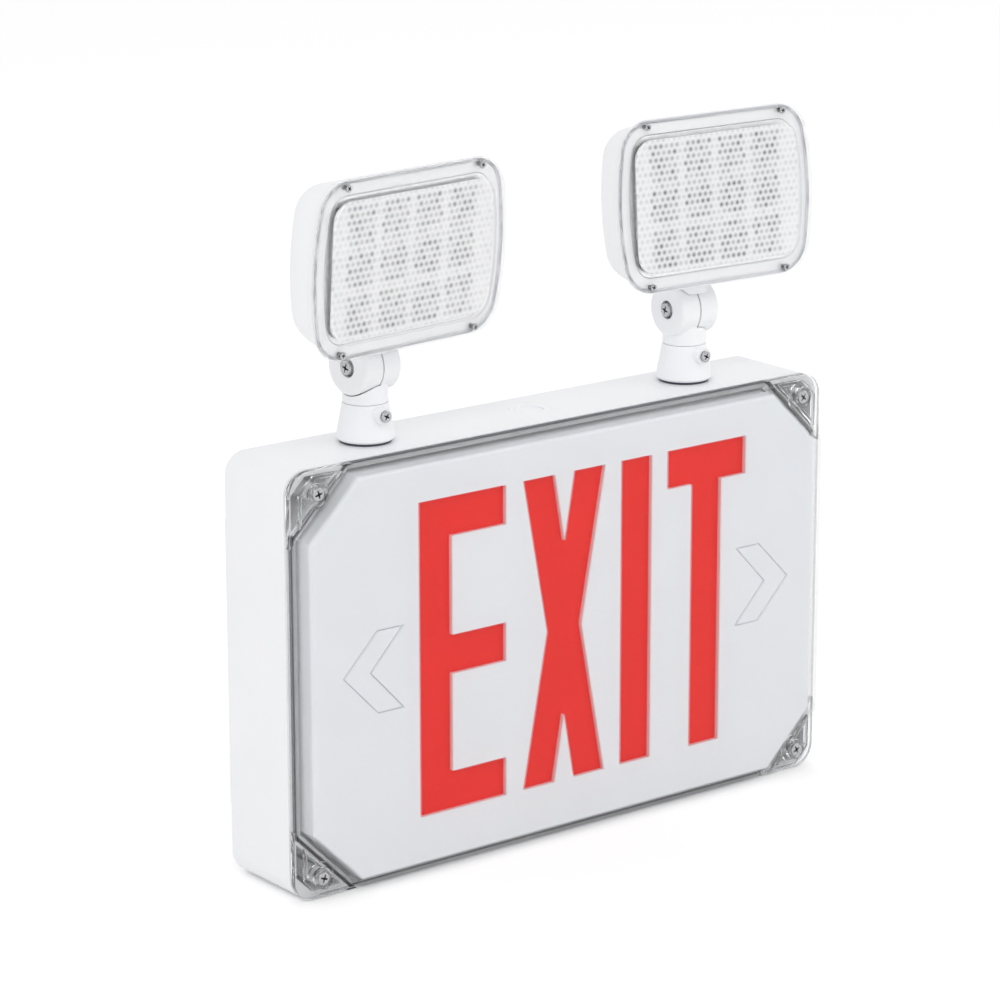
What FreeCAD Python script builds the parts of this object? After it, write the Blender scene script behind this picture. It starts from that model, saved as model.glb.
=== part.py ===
import FreeCAD, Part
import math
import os

import Sketcher

# Wall-mounted emergency exit light with two adjustable lamp heads.
# Frame: the origin is the middle of the wall face, +Z is up, the sign faces -Y, and +X is its right.
# "Front distance" means the distance from the wall plane towards -Y. All sizes are millimetres.

SIZES = {
    # housing: a moulded tray, open to the front, with an octagonal plinth against the wall
    "housing_width": 320,
    "housing_height": 204,
    "housing_depth": 51.5,
    "housing_corner": 11,
    "housing_back_edge": 3,
    "plinth_depth": 3,
    "plinth_inset": 3,
    "plinth_leg": 30,
    "back_wall": 2.6,
    "corner_wall": 3,
    "corner_round_cut": 8,
    "corner_pocket_depth": 22,
    "corner_rib_gap": 1.2,
    "screw_boss_radius": 4,
    "wall_hole_across": 220,
    "wall_hole_up": 120,
    "wall_hole_radius": 2.4,
    "cable_hole_radius": 11,
    "cable_hole_up": -57,
    # clear cover: a flange on the gasket, and an octagon raised over the sign face
    "gasket_thick": 1.5,
    "gasket_outside": 2,
    "gasket_inside": 1,
    "cavity_inset": 1.2,
    "cover_side_margin": 4.4,
    "cover_top_margin": 2.4,
    "cover_leg": 28.5,
    "cover_flange": 3,
    "cover_rise": 7.9,
    "face_clearance": 0.2,
    "cover_wall": 2.6,
    "cover_face": 2.2,
    "cover_edge_radius": 1.8,
    "cover_upright_radius": 3,
    "ear_boss_radius": 5.1,
    "ear_boss_rise": 3.6,
    "ear_foot_radius": 7.3,
    "ear_foot_rise": 1.2,
    "ear_frame_width": 1.4,
    "ear_frame_rise": 1.6,
    "screw_from_side": 13.8,
    "screw_from_top": 10.5,
    "screw_shank_radius": 1.95,
    "screw_head_radius": 3.1,
    "screw_head_thick": 2,
    "screw_reach": 14,
    "screw_fit": 0.08,
    "head_fit": 0.3,
    # sign face: a white pan with the cut-out word, and two scored chevrons
    "pan_gap": 0.6,
    "pan_depth": 11.5,
    "pan_wall": 2,
    "pan_leg": 27,
    "pan_edge_radius": 1.5,
    "letter_height": 152.4,
    "letter_stroke": 19.05,
    "letter_base": -73.4,
    "word_start": -92.2,
    "e_width": 50.7,
    "x_start": 60.9,
    "x_width": 49.7,
    "x_waist": 21,
    "x_notch_depth": 33,
    "i_start": 120.35,
    "t_start": 149.1,
    "t_width": 49.85,
    "t_stem_offset": 15.3,
    "chevron_from_edge": 16.6,
    "chevron_shoulder": 19.5,
    "chevron_length": 34.9,
    "chevron_crotch": 16,
    "chevron_half_height": 20,
    "score_width": 0.6,
    "score_depth": 0.9,
    # light box behind the face
    "panel_thick": 2,
    "panel_gap": 0.5,
    "tray_depth": 19.5,
    "tray_wall": 1.6,
    "tray_post_from_side": 13.4,
    "tray_post_from_top": 43.4,
    "tray_post_radius": 4,
    "strip_length": 236,
    "strip_width": 9,
    "strip_thick": 1.2,
    "strip_setback": 5,
    "chip_count": 12,
    "chip_length": 4,
    "chip_width": 3,
    "chip_thick": 1,
    # electronics
    "board_width": 118,
    "board_height": 84,
    "board_thick": 1.6,
    "board_centre": 12,
    "board_standoff": 7,
    "board_post_inset": 5,
    "board_post_radius": 3,
    "relay_across": -32,
    "relay_up": 20,
    "relay_width": 19,
    "relay_height": 15,
    "relay_tall": 14,
    "charger_across": 8,
    "charger_up": 22,
    "charger_width": 14,
    "charger_height": 14,
    "charger_tall": 3,
    "sink_across": 36,
    "sink_up": -18,
    "sink_width": 12,
    "sink_height": 26,
    "sink_tall": 12,
    "capacitor_across": -28,
    "capacitor_up": -19,
    "capacitor_pitch": 18,
    "capacitor_radius": 6,
    "capacitor_tall": 15,
    "cell_radius": 11.5,
    "cell_length": 46,
    "cell_pitch": 22.6,
    "battery_web": 13.8,
    "battery_from_side": 54.4,
    "battery_up": -8,
    "floor_gap": 0.2,
    "strap_thick": 1.2,
    "strap_width": 14,
    "strap_foot": 9,
    "core_width": 46,
    "core_height": 38,
    "core_thick": 14,
    "coil_width": 26,
    "coil_height": 32,
    "coil_thick": 25,
    "transformer_from_side": 42.4,
    "transformer_up": 18,
    # test button, status lamp and the small board that carries their switch
    "button_front": 27,
    "button_up": -26,
    "button_radius": 4.5,
    "button_fit": 0.08,
    "button_proud": 2.6,
    "button_collar": 5.8,
    "button_collar_thick": 1.6,
    "button_travel": 1.5,
    "lamp_dot_radius": 2.5,
    "lamp_dot_up": -8,
    "lamp_dot_proud": 1.4,
    "lamp_dot_fit": 0.05,
    "lamp_dot_collar": 3.5,
    "lamp_dot_source": 2,
    "switch_board_width": 26,
    "switch_board_height": 44,
    "switch_board_thick": 1.6,
    "switch_body": 6,
    "switch_body_thick": 4,
    "switch_gap": 0.3,
    # conduit plug in the top wall
    "plug_radius": 10,
    "plug_flange_radius": 12,
    "plug_flange_thick": 1.5,
    "plug_fit": 0.1,
    "plug_dish_radius": 7,
    "plug_dish_depth": 0.8,
    # lamp position and pose
    "lamp_from_end": 63.6,
    "lamp_front": 27,
    "axis_height": 36.2,
    "left_pan": 6.5,
    "right_pan": -2.5,
    "left_tilt": 4,
    "right_tilt": -4,
    # lamp base
    "base_gasket_radius": 12,
    "base_gasket_thick": 1.3,
    "base_bottom_radius": 13.8,
    "base_top_radius": 10.8,
    "base_height": 17.5,
    "base_edge": 1,
    "spigot_radius": 9,
    "spigot_fit": 0.1,
    "nut_thick": 3.8,
    "nut_flat_radius": 13,
    "nut_seat_gap": 0.1,
    "stem_radius": 7,
    "stem_fit": 0.08,
    "boss_radius": 4,
    "boss_reach": 15.3,
    "boss_drop": 4.4,
    "set_screw_radius": 2,
    "set_screw_fit": 0.08,
    "set_head_radius": 2.7,
    "set_head_thick": 1.4,
    "groove_depth": 1.6,
    "groove_width": 5,
    "groove_gap": 0.2,
    # knuckle: two like halves with toothed faces on one cross screw
    "disc_radius": 13,
    "disc_width": 11,
    "disc_chamfer": 0.6,
    "neck_radius": 10.6,
    "neck_gap": 0.2,
    "face_gap": 0.45,
    "scoop_gap": 0.5,
    "tooth_count": 18,
    "tooth_inner": 6,
    "tooth_outer": 11.5,
    "tooth_rise": 0.35,
    "tooth_angle": 11,
    "cross_radius": 2.2,
    "cross_fit": 0.06,
    "cross_head_radius": 3.4,
    "cross_head_thick": 2.2,
    "cross_seat_depth": 2,
    "cross_seat_fit": 0.3,
    "washer_radius": 4.3,
    "washer_thick": 0.8,
    "cross_nut_radius": 3.8,
    "cross_nut_thick": 3.2,
    "nut_pocket_fit": 0.2,
    # head shell
    "head_rise": 55.9,
    "head_half_width": 58.5,
    "head_half_height": 41.5,
    "head_side_radius": 150,
    "head_corner": 17,
    "shell_front": 26.2,
    "shell_back": -4,
    "shell_land": 7.3,
    "shell_waist_front": 12,
    "shell_waist_inset": 4.6,
    "shell_waist_corner": 13.5,
    "shell_turn_front": 3.4,
    "shell_turn_inset": 7.8,
    "shell_turn_corner": 12,
    "shell_shoulder_front": -1.8,
    "shell_shoulder_inset": 13,
    "shell_shoulder_corner": 10,
    "shell_back_inset": 20,
    "shell_back_corner": 8,
    "shell_deep_inset": 13,
    "shell_deep_corner": 6,
    "shell_floor": 5,
    "arm_seat": 15.6,
    "arm_start": 8,
    "arm_forward": 3,
    "arm_radius": 9.5,
    "arm_boss_height": 10,
    "arm_screw_radius": 2,
    "arm_screw_forward": 5,
    "arm_screw_head": 3.6,
    "arm_screw_head_thick": 2.2,
    "arm_screw_reach": 5,
    "lens_gasket_thick": 0.9,
    "lens_gasket_width": 1.4,
    "lens_gasket_inset": 0.6,
    "lens_flange": 1.8,
    "lens_pad_rise": 2.2,
    "lens_pad_margin": 7.6,
    "lens_pad_corner": 12,
    "lens_pad_edge": 1.2,
    "lens_wall": 1.8,
    "lens_screw_across": 40.9,
    "lens_screw_up": 38.15,
    "lens_screw_radius": 1.1,
    "lens_screw_head": 1.7,
    "lens_screw_head_thick": 0.7,
    "lens_screw_reach": 9,
    # reflector and its board
    "cell_columns": 4,
    "cell_rows": 3,
    "dish_pitch_across": 23,
    "dish_pitch_up": 20,
    "dish_rim": 1.2,
    "dish_floor": 7,
    "dish_depth": 8,
    "dish_taper": 36,
    "reflector_gap": 0.3,
    "reflector_thick": 9.5,
    "lamp_board_gap": 0.5,
    "lamp_board_thick": 1.4,
    "die_size": 3.4,
    "die_thick": 0.8,
    # how far a cut runs past the face it opens
    "overcut": 1,
}

DIAGONAL_SHARE = 2 - math.sqrt(2)      # how much a 45-degree corner leg grows for each unit of offset

doc = FreeCAD.newDocument("exit_light")


class Size:
    # A number together with the spreadsheet expression that gives it.
    def __init__(self, value, text):
        self.value = value
        self.text = text

    def __float__(self):
        return float(self.value)

    def __add__(self, other):
        other = as_size(other)
        return Size(self.value + other.value, "(%s + %s)" % (self.text, other.text))

    def __radd__(self, other):
        return as_size(other) + self

    def __sub__(self, other):
        other = as_size(other)
        return Size(self.value - other.value, "(%s - %s)" % (self.text, other.text))

    def __rsub__(self, other):
        return as_size(other) - self

    def __mul__(self, other):
        other = as_size(other)
        return Size(self.value * other.value, "(%s * %s)" % (self.text, other.text))

    def __rmul__(self, other):
        return as_size(other) * self

    def __truediv__(self, other):
        other = as_size(other)
        return Size(self.value / other.value, "(%s / %s)" % (self.text, other.text))

    def __neg__(self):
        return Size(-self.value, "(0 - %s)" % self.text)


def root(size):
    return Size(math.sqrt(size.value), "sqrt(%s)" % size.text)


def as_size(number):
    if isinstance(number, Size):
        return number
    return Size(number, repr(float(number)))


def make_sheet():
    sheet = doc.addObject("Spreadsheet::Sheet", "Sizes")
    for row, (alias, value) in enumerate(SIZES.items(), start=1):
        sheet.set("A%d" % row, alias)
        sheet.set("B%d" % row, str(value))
        sheet.setAlias("B%d" % row, alias)
    doc.recompute()
    return {alias: Size(float(sheet.get(alias)), "Sizes.%s" % alias) for alias in SIZES}


z = make_sheet()


# ---- small helpers: bodies, sketches and features -------------------------------------------

def bind(item, path, size):
    item.setExpression(path, as_size(size).text)


def new_body(label):
    body = doc.addObject("PartDesign::Body", label)
    body.Label = label
    body.AllowCompound = True
    return body


def origin_plane(body, role):
    return [item for item in body.Origin.OriginFeatures if item.Role == role][0]


def new_sketch(body, role, offset):
    sketch = body.newObject("Sketcher::SketchObject", "%s_sketch" % body.Label)
    sketch.AttachmentSupport = [(origin_plane(body, role), "")]
    sketch.MapMode = "FlatFace"
    bind(sketch, "AttachmentOffset.Base.z", offset)
    return sketch


def front_sketch(body, front):
    # drawn as seen from the front: x is X, y is Z, and features grow towards the viewer
    return new_sketch(body, "XZ_Plane", front)


def level_sketch(body, height):
    # drawn in plan: x is X, y is Y, and features grow upwards
    return new_sketch(body, "XY_Plane", height)


def side_sketch(body, across):
    # x is Y, y is Z, and features grow towards +X
    return new_sketch(body, "YZ_Plane", across)


def point(x, y):
    return FreeCAD.Vector(float(x), float(y), 0)


def constrain(sketch, kind, *where, size):
    index = sketch.addConstraint(Sketcher.Constraint(kind, *where, float(size)))
    bind(sketch, "Constraints[%d]" % index, size)


def pin(sketch, geometry, end, x, y):
    constrain(sketch, "DistanceX", -1, 1, geometry, end, size=as_size(x))
    constrain(sketch, "DistanceY", -1, 1, geometry, end, size=as_size(y))


def polygon(sketch, corners):
    first = sketch.GeometryCount
    count = len(corners)
    for index in range(count):
        start = point(*corners[index])
        end = point(*corners[(index + 1) % count])
        sketch.addGeometry(Part.LineSegment(start, end), False)
    for index in range(count):
        following = first + (index + 1) % count
        sketch.addConstraint(Sketcher.Constraint("Coincident", first + index, 2, following, 1))
    for index, corner in enumerate(corners):
        pin(sketch, first + index, 1, *corner)


def rectangle(sketch, left, right, bottom, top):
    polygon(sketch, [(left, bottom), (right, bottom), (right, top), (left, top)])


def centred_rectangle(sketch, x, y, width, height):
    rectangle(sketch, x - width / 2, x + width / 2, y - height / 2, y + height / 2)


def circle(sketch, x, y, radius):
    shape = Part.Circle(point(x, y), FreeCAD.Vector(0, 0, 1), float(radius))
    geometry = sketch.addGeometry(shape, False)
    pin(sketch, geometry, 3, x, y)
    constrain(sketch, "Radius", geometry, size=radius)


def hexagon(sketch, x, y, radius):
    corners = []
    for turn in range(6):
        angle = math.radians(60 * turn)
        corners.append((x + radius * math.cos(angle), y + radius * math.sin(angle)))
    polygon(sketch, corners)


def octagon(sketch, half_width, half_height, leg, offset=0):
    # a rectangle with 45-degree corners, moved outwards by offset all round
    w = half_width + offset
    h = half_height + offset
    c = leg + as_size(offset) * DIAGONAL_SHARE
    polygon(sketch, [(-w + c, -h), (w - c, -h), (w, -h + c), (w, h - c),
                     (w - c, h), (-w + c, h), (-w, h - c), (-w, -h + c)])


def crowned_outline(sketch, inset, corner=None, centre_up=None):
    # the lamp head's outline: straight top and bottom, bowed sides, round corners
    w = float(z["head_half_width"] - inset)
    h = float(z["head_half_height"] - inset)
    side = float(z["head_side_radius"] - inset)
    corner_size = as_size(corner) if corner is not None else z["head_corner"] - inset
    r = float(corner_size)
    rise = z["head_rise"] if centre_up is None else centre_up
    up = float(rise)
    bow = w - side
    corner_x = bow + math.sqrt((side - r) ** 2 - (h - r) ** 2)
    touch = math.atan2(h - r, corner_x - bow)
    normal = FreeCAD.Vector(0, 0, 1)
    first = sketch.GeometryCount

    def arc(x, y, radius, start, end):
        ring = Part.Circle(point(x, y + up), normal, radius)
        return sketch.addGeometry(Part.ArcOfCircle(ring, start, end), False)

    quarter = math.pi / 2
    arc(bow, 0, side, -touch, touch)
    arc(corner_x, h - r, r, touch, quarter)
    sketch.addGeometry(Part.LineSegment(point(corner_x, up + h), point(-corner_x, up + h)), False)
    arc(-corner_x, h - r, r, quarter, 2 * quarter - touch)
    arc(-bow, 0, side, 2 * quarter - touch, 2 * quarter + touch)
    arc(-corner_x, r - h, r, 2 * quarter + touch, 3 * quarter)
    sketch.addGeometry(Part.LineSegment(point(-corner_x, up - h), point(corner_x, up - h)), False)
    arc(corner_x, r - h, r, 3 * quarter, 4 * quarter - touch)
    right, corner_a, top, corner_b, left, corner_c, bottom, corner_d = range(first, first + 8)
    order = [(right, 2, corner_a, 1), (corner_a, 2, top, 1), (top, 2, corner_b, 1),
             (corner_b, 2, left, 1), (left, 2, corner_c, 1), (corner_c, 2, bottom, 1),
             (bottom, 2, corner_d, 1), (corner_d, 2, right, 1)]
    for joint in order:
        sketch.addConstraint(Sketcher.Constraint("Tangent", *joint))
    for line in (top, bottom):
        sketch.addConstraint(Sketcher.Constraint("Horizontal", line))
    constrain(sketch, "DistanceY", -1, 1, top, 1, size=rise + z["head_half_height"] - inset)
    constrain(sketch, "DistanceY", -1, 1, bottom, 1, size=rise - z["head_half_height"] + inset)
    middle = z["head_half_width"] - z["head_side_radius"]
    pin(sketch, right, 3, middle, rise)
    pin(sketch, left, 3, -middle, rise)
    for bowed in (right, left):
        constrain(sketch, "Radius", bowed, size=z["head_side_radius"] - inset)
    for rounded in (corner_a, corner_b, corner_c, corner_d):
        constrain(sketch, "Radius", rounded, size=corner_size)


def pad(body, sketch, length, backwards=False):
    feature = body.newObject("PartDesign::Pad", "%s_pad" % body.Label)
    feature.Profile = sketch
    bind(feature, "Length", length)
    feature.Reversed = backwards
    return feature


def pocket(body, sketch, depth, forwards=False):
    # cuts against the sketch's growing direction, unless forwards is set
    feature = body.newObject("PartDesign::Pocket", "%s_pocket" % body.Label)
    feature.Profile = sketch
    bind(feature, "Length", depth)
    feature.Reversed = forwards
    return feature


def turn(body, sketch, cutting=False):
    # a full turn about the sketch's own vertical axis
    kind = "PartDesign::Groove" if cutting else "PartDesign::Revolution"
    feature = body.newObject(kind, "%s_turn" % body.Label)
    feature.Profile = sketch
    feature.ReferenceAxis = (sketch, ["V_Axis"])
    feature.Angle = 360
    return feature


def chosen_edges(feature, wanted):
    doc.recompute()
    return ["Edge%d" % number for number, edge in enumerate(feature.Shape.Edges, start=1) if wanted(edge)]


def blend_edges(body, feature, size, wanted, kind="Fillet"):
    names = chosen_edges(feature, wanted)
    result = body.newObject("PartDesign::%s" % kind, "%s_%s" % (body.Label, kind.lower()))
    result.Base = (feature, names)
    bind(result, "Radius" if kind == "Fillet" else "Size", size)
    return result


def close(a, b):
    return abs(float(a) - float(b)) < 0.01


def runs_along_y(edge):
    box = edge.BoundBox
    return box.XLength < 0.01 and box.ZLength < 0.01 and box.YLength > 0.01


def lies_at_front(edge, front):
    box = edge.BoundBox
    return close(box.YMin, -float(front)) and close(box.YMax, -float(front))


def corners_of(across, up):
    return [(side_x * across, side_z * up) for side_x in (-1, 1) for side_z in (-1, 1)]


# ---- front distances and heights that several pieces share ---------------------------------

cover_half_width = z["housing_width"] / 2 - z["cover_side_margin"]
cover_half_height = z["housing_height"] / 2 - z["cover_top_margin"]
rim = z["housing_depth"]
floor = z["plinth_depth"] + z["back_wall"]
flange_back = rim + z["gasket_thick"]
flange_front = flange_back + z["cover_flange"]
cover_front = flange_front + z["cover_rise"]
face_front = cover_front - z["cover_face"] - z["face_clearance"]
face_back = face_front - z["pan_wall"]
pan_back = face_front - z["pan_depth"]
pan_half_width = cover_half_width - z["cover_wall"] - z["pan_gap"]
pan_half_height = cover_half_height - z["cover_wall"] - z["pan_gap"]
panel_back = face_back - z["panel_thick"]
tray_back = panel_back - z["tray_depth"]
housing_top = z["housing_height"] / 2
cavity_half_width = cover_half_width - z["cavity_inset"]
cavity_half_height = cover_half_height - z["cavity_inset"]
top_wall = housing_top - cavity_half_height
side_wall = z["housing_width"] / 2 - cavity_half_width
screw_across = z["housing_width"] / 2 - z["screw_from_side"]
screw_up = housing_top - z["screw_from_top"]
lamp_across = z["housing_width"] / 2 - z["lamp_from_end"]
tray_post_across = cavity_half_width - z["tray_post_from_side"]
tray_post_up = cavity_half_height - z["tray_post_from_top"]
battery_across = z["battery_from_side"] - cavity_half_width
transformer_across = cavity_half_width - z["transformer_from_side"]
lamp_lift = z["base_gasket_thick"] + z["base_height"]
spigot_depth = top_wall + z["nut_seat_gap"] + z["nut_thick"]
boss_height = lamp_lift - z["boss_drop"]
neck_bottom = lamp_lift + z["neck_gap"] - z["axis_height"]
lens_back = z["shell_front"] + z["lens_gasket_thick"]
lens_front = lens_back + z["lens_flange"]
ledge = z["shell_front"] - z["reflector_thick"] - z["lamp_board_thick"]
head_hole_radius = z["cross_radius"] + z["cross_fit"]


# ---- housing and cover -----------------------------------------------------------------------

def corner_web(sketch, w, h, inset):
    # a pocket in each corner: its two walls at w and h, its third beside the octagon's slanting side
    rib = cover_half_width + cover_half_height - z["cover_leg"]
    rib = rib + (z["gasket_outside"] + z["corner_rib_gap"] + inset) * math.sqrt(2)
    cut = z["corner_round_cut"]
    for x in (-1, 1):
        for y in (-1, 1):
            corners = [(w, rib - w), (w, h - cut), (w - cut, h), (rib - h, h)]
            polygon(sketch, [(x * across, y * up) for across, up in corners])


def make_housing():
    body = new_body("housing")
    sketch = front_sketch(body, z["plinth_depth"])
    centred_rectangle(sketch, as_size(0), as_size(0), z["housing_width"], z["housing_height"])
    tray = pad(body, sketch, rim - z["plinth_depth"])
    tray = blend_edges(body, tray, z["housing_corner"], runs_along_y)
    blend_edges(body, tray, z["housing_back_edge"], lambda edge: lies_at_front(edge, z["plinth_depth"]))

    sketch = front_sketch(body, 0)
    octagon(sketch, z["housing_width"] / 2 - z["plinth_inset"], housing_top - z["plinth_inset"],
            z["plinth_leg"])
    pad(body, sketch, z["plinth_depth"] + z["back_wall"])

    sketch = front_sketch(body, rim)
    octagon(sketch, cavity_half_width, cavity_half_height, z["cover_leg"],
            0)
    pocket(body, sketch, rim - floor)

    sketch = front_sketch(body, rim)
    wall = z["corner_wall"]
    corner_web(sketch, z["housing_width"] / 2 - wall, housing_top - wall, 0)
    for x, y in corners_of(screw_across, screw_up):
        circle(sketch, x, y, z["screw_boss_radius"])
    pocket(body, sketch, z["corner_pocket_depth"])

    sketch = front_sketch(body, floor)
    for x, y in corners_of(tray_post_across, tray_post_up):
        circle(sketch, x, y, z["tray_post_radius"])
    pad(body, sketch, tray_back - floor)

    sketch = front_sketch(body, floor)
    for x, y in corners_of(z["board_width"] / 2 - z["board_post_inset"],
                           z["board_height"] / 2 - z["board_post_inset"]):
        circle(sketch, x + z["board_centre"], y, z["board_post_radius"])
    pad(body, sketch, z["board_standoff"])

    sketch = front_sketch(body, rim)
    for x, y in corners_of(screw_across, screw_up):
        circle(sketch, x, y, z["screw_shank_radius"] + z["screw_fit"])
    pocket(body, sketch, z["screw_reach"])

    sketch = front_sketch(body, floor)
    for x, y in corners_of(z["wall_hole_across"] / 2, z["wall_hole_up"] / 2):
        circle(sketch, x, y, z["wall_hole_radius"])
    circle(sketch, as_size(0), z["cable_hole_up"], z["cable_hole_radius"])
    pocket(body, sketch, floor)

    sketch = level_sketch(body, housing_top)
    for x in (-lamp_across, lamp_across):
        circle(sketch, x, -z["lamp_front"], z["spigot_radius"] + z["spigot_fit"])
    circle(sketch, as_size(0), -z["lamp_front"], z["plug_radius"] + z["plug_fit"])
    pocket(body, sketch, top_wall + z["overcut"])

    sketch = side_sketch(body, z["housing_width"] / 2)
    circle(sketch, -z["button_front"], z["button_up"], z["button_radius"] + z["button_fit"])
    circle(sketch, -z["button_front"], z["lamp_dot_up"], z["lamp_dot_radius"] + z["lamp_dot_fit"])
    pocket(body, sketch, side_wall + z["overcut"])
    return body


def make_cover_gasket():
    body = new_body("cover_gasket")
    sketch = front_sketch(body, rim)
    sizes = (cover_half_width, cover_half_height, z["cover_leg"])
    octagon(sketch, *sizes, z["gasket_outside"])
    octagon(sketch, *sizes, -z["gasket_inside"])
    pad(body, sketch, z["gasket_thick"])
    return body


def make_clear_cover():
    body = new_body("clear_cover")
    sketch = front_sketch(body, flange_back)
    centred_rectangle(sketch, as_size(0), as_size(0), z["housing_width"], z["housing_height"])
    flange = pad(body, sketch, z["cover_flange"])
    blend_edges(body, flange, z["housing_corner"], runs_along_y)

    sketch = front_sketch(body, flange_front)
    octagon(sketch, cover_half_width, cover_half_height, z["cover_leg"])
    raised = pad(body, sketch, z["cover_rise"])
    limit = cover_half_width + z["cover_side_margin"] / 2

    def is_upright(edge):
        on_rise = close(edge.BoundBox.YMin, -float(cover_front)) and runs_along_y(edge)
        return on_rise and abs(edge.BoundBox.XMax) < float(limit)

    raised = blend_edges(body, raised, z["cover_upright_radius"], is_upright)
    blend_edges(body, raised, z["cover_edge_radius"], lambda edge: lies_at_front(edge, cover_front))

    sketch = front_sketch(body, flange_back)
    octagon(sketch, cover_half_width, cover_half_height, z["cover_leg"], -z["cover_wall"])
    pocket(body, sketch, z["cover_flange"] + z["cover_rise"] - z["cover_face"], forwards=True)

    sketch = front_sketch(body, flange_front)
    for x, y in corners_of(screw_across, screw_up):
        circle(sketch, x, y, z["ear_boss_radius"])
    pad(body, sketch, z["ear_boss_rise"])

    sketch = front_sketch(body, flange_front)
    for x, y in corners_of(screw_across, screw_up):
        circle(sketch, x, y, z["ear_foot_radius"])
    pad(body, sketch, z["ear_foot_rise"])

    sketch = front_sketch(body, flange_front)
    frame = z["ear_frame_width"]
    corner_web(sketch, cover_half_width, cover_half_height, 0)
    corner_web(sketch, cover_half_width - frame, cover_half_height - frame, frame)
    pad(body, sketch, z["ear_frame_rise"])

    sketch = front_sketch(body, flange_front + z["ear_boss_rise"])
    for x, y in corners_of(screw_across, screw_up):
        circle(sketch, x, y, z["screw_head_radius"] + z["head_fit"])
    pocket(body, sketch, z["screw_head_thick"])
    sketch = front_sketch(body, flange_front + z["ear_boss_rise"])
    for x, y in corners_of(screw_across, screw_up):
        circle(sketch, x, y, z["screw_shank_radius"] + z["screw_fit"])
    pocket(body, sketch, z["ear_boss_rise"] + z["cover_flange"])
    return body


def make_cover_screws():
    body = new_body("cover_screws")
    seat = flange_front + z["ear_boss_rise"] - z["screw_head_thick"]
    sketch = front_sketch(body, seat)
    for x, y in corners_of(screw_across, screw_up):
        circle(sketch, x, y, z["screw_head_radius"])
    pad(body, sketch, z["screw_head_thick"])
    sketch = front_sketch(body, seat)
    for x, y in corners_of(screw_across, screw_up):
        circle(sketch, x, y, z["screw_shank_radius"])
    pad(body, sketch, seat - rim + z["screw_reach"], backwards=True)
    return body


# ---- sign face and light box -----------------------------------------------------------------

def letter_outlines():
    stroke = z["letter_stroke"]
    top = z["letter_height"]
    middle = top / 2
    e = z["e_width"]
    letter_e = [(0, 0), (e, 0), (e, stroke), (stroke, stroke), (stroke, middle - stroke / 2),
                (e, middle - stroke / 2), (e, middle + stroke / 2), (stroke, middle + stroke / 2),
                (stroke, top - stroke), (e, top - stroke), (e, top), (0, top)]
    x = z["x_width"]
    half_waist = z["x_waist"] / 2
    notch = z["x_notch_depth"]
    letter_x = [(0, 0), (stroke, 0), (x / 2, notch), (x - stroke, 0), (x, 0), (x / 2 + half_waist, middle),
                (x, top), (x - stroke, top), (x / 2, top - notch), (stroke, top), (0, top),
                (x / 2 - half_waist, middle)]
    letter_i = [(0, 0), (stroke, 0), (stroke, top), (0, top)]
    stem = z["t_stem_offset"]
    t = z["t_width"]
    letter_t = [(stem, 0), (stem + stroke, 0), (stem + stroke, top - stroke), (t, top - stroke), (t, top),
                (0, top), (0, top - stroke), (stem, top - stroke)]
    return [(0, letter_e), (z["x_start"], letter_x), (z["i_start"], letter_i), (z["t_start"], letter_t)]


def chevron(inset):
    # an arrowhead pointing to +X, with its outline moved inwards by inset
    half = z["chevron_half_height"]
    outer_slope = z["chevron_shoulder"] / half
    inner_slope = (z["chevron_length"] - z["chevron_crotch"]) / half
    outer_shift = root(outer_slope * outer_slope + 1) * inset
    inner_shift = root(inner_slope * inner_slope + 1) * inset
    top = half - inset
    tip = pan_half_width - z["chevron_from_edge"] - outer_shift
    crotch = pan_half_width - z["chevron_from_edge"] - z["chevron_crotch"] + inner_shift
    shoulder = tip - outer_slope * top
    end = crotch - inner_slope * top
    return [(tip, 0), (shoulder, top), (end, top), (crotch, 0), (end, -top), (shoulder, -top)]


def make_stencil_plate():
    body = new_body("stencil_plate")
    sketch = front_sketch(body, pan_back)
    octagon(sketch, pan_half_width, pan_half_height, z["pan_leg"])
    pan = pad(body, sketch, z["pan_depth"])
    blend_edges(body, pan, z["pan_edge_radius"], lambda edge: lies_at_front(edge, face_front))
    sketch = front_sketch(body, pan_back)
    octagon(sketch, pan_half_width, pan_half_height, z["pan_leg"], -z["pan_wall"])
    pocket(body, sketch, z["pan_depth"] - z["pan_wall"], forwards=True)
    sketch = front_sketch(body, face_front)
    for start, corners in letter_outlines():
        polygon(sketch, [(z["word_start"] + start + x, z["letter_base"] + y) for x, y in corners])
    pocket(body, sketch, z["pan_wall"])
    sketch = front_sketch(body, face_front)
    centre = z["letter_base"] + z["letter_height"] / 2
    for side in (-1, 1):
        for inset in (as_size(0), z["score_width"]):
            polygon(sketch, [(side * as_size(x), centre + y) for x, y in chevron(inset)])
    pocket(body, sketch, z["score_depth"])
    return body


def make_red_panel():
    body = new_body("red_panel")
    sketch = front_sketch(body, panel_back)
    octagon(sketch, pan_half_width, pan_half_height, z["pan_leg"], -z["pan_wall"] - z["panel_gap"])
    pad(body, sketch, z["panel_thick"])
    return body


def make_light_tray():
    body = new_body("light_tray")
    sizes = (pan_half_width, pan_half_height, z["pan_leg"])
    outside = -z["pan_wall"] - z["panel_gap"]
    sketch = front_sketch(body, tray_back)
    octagon(sketch, *sizes, outside)
    pad(body, sketch, z["tray_depth"])
    sketch = front_sketch(body, panel_back)
    octagon(sketch, *sizes, outside - z["tray_wall"])
    pocket(body, sketch, z["tray_depth"] - z["tray_wall"])
    return body


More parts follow.
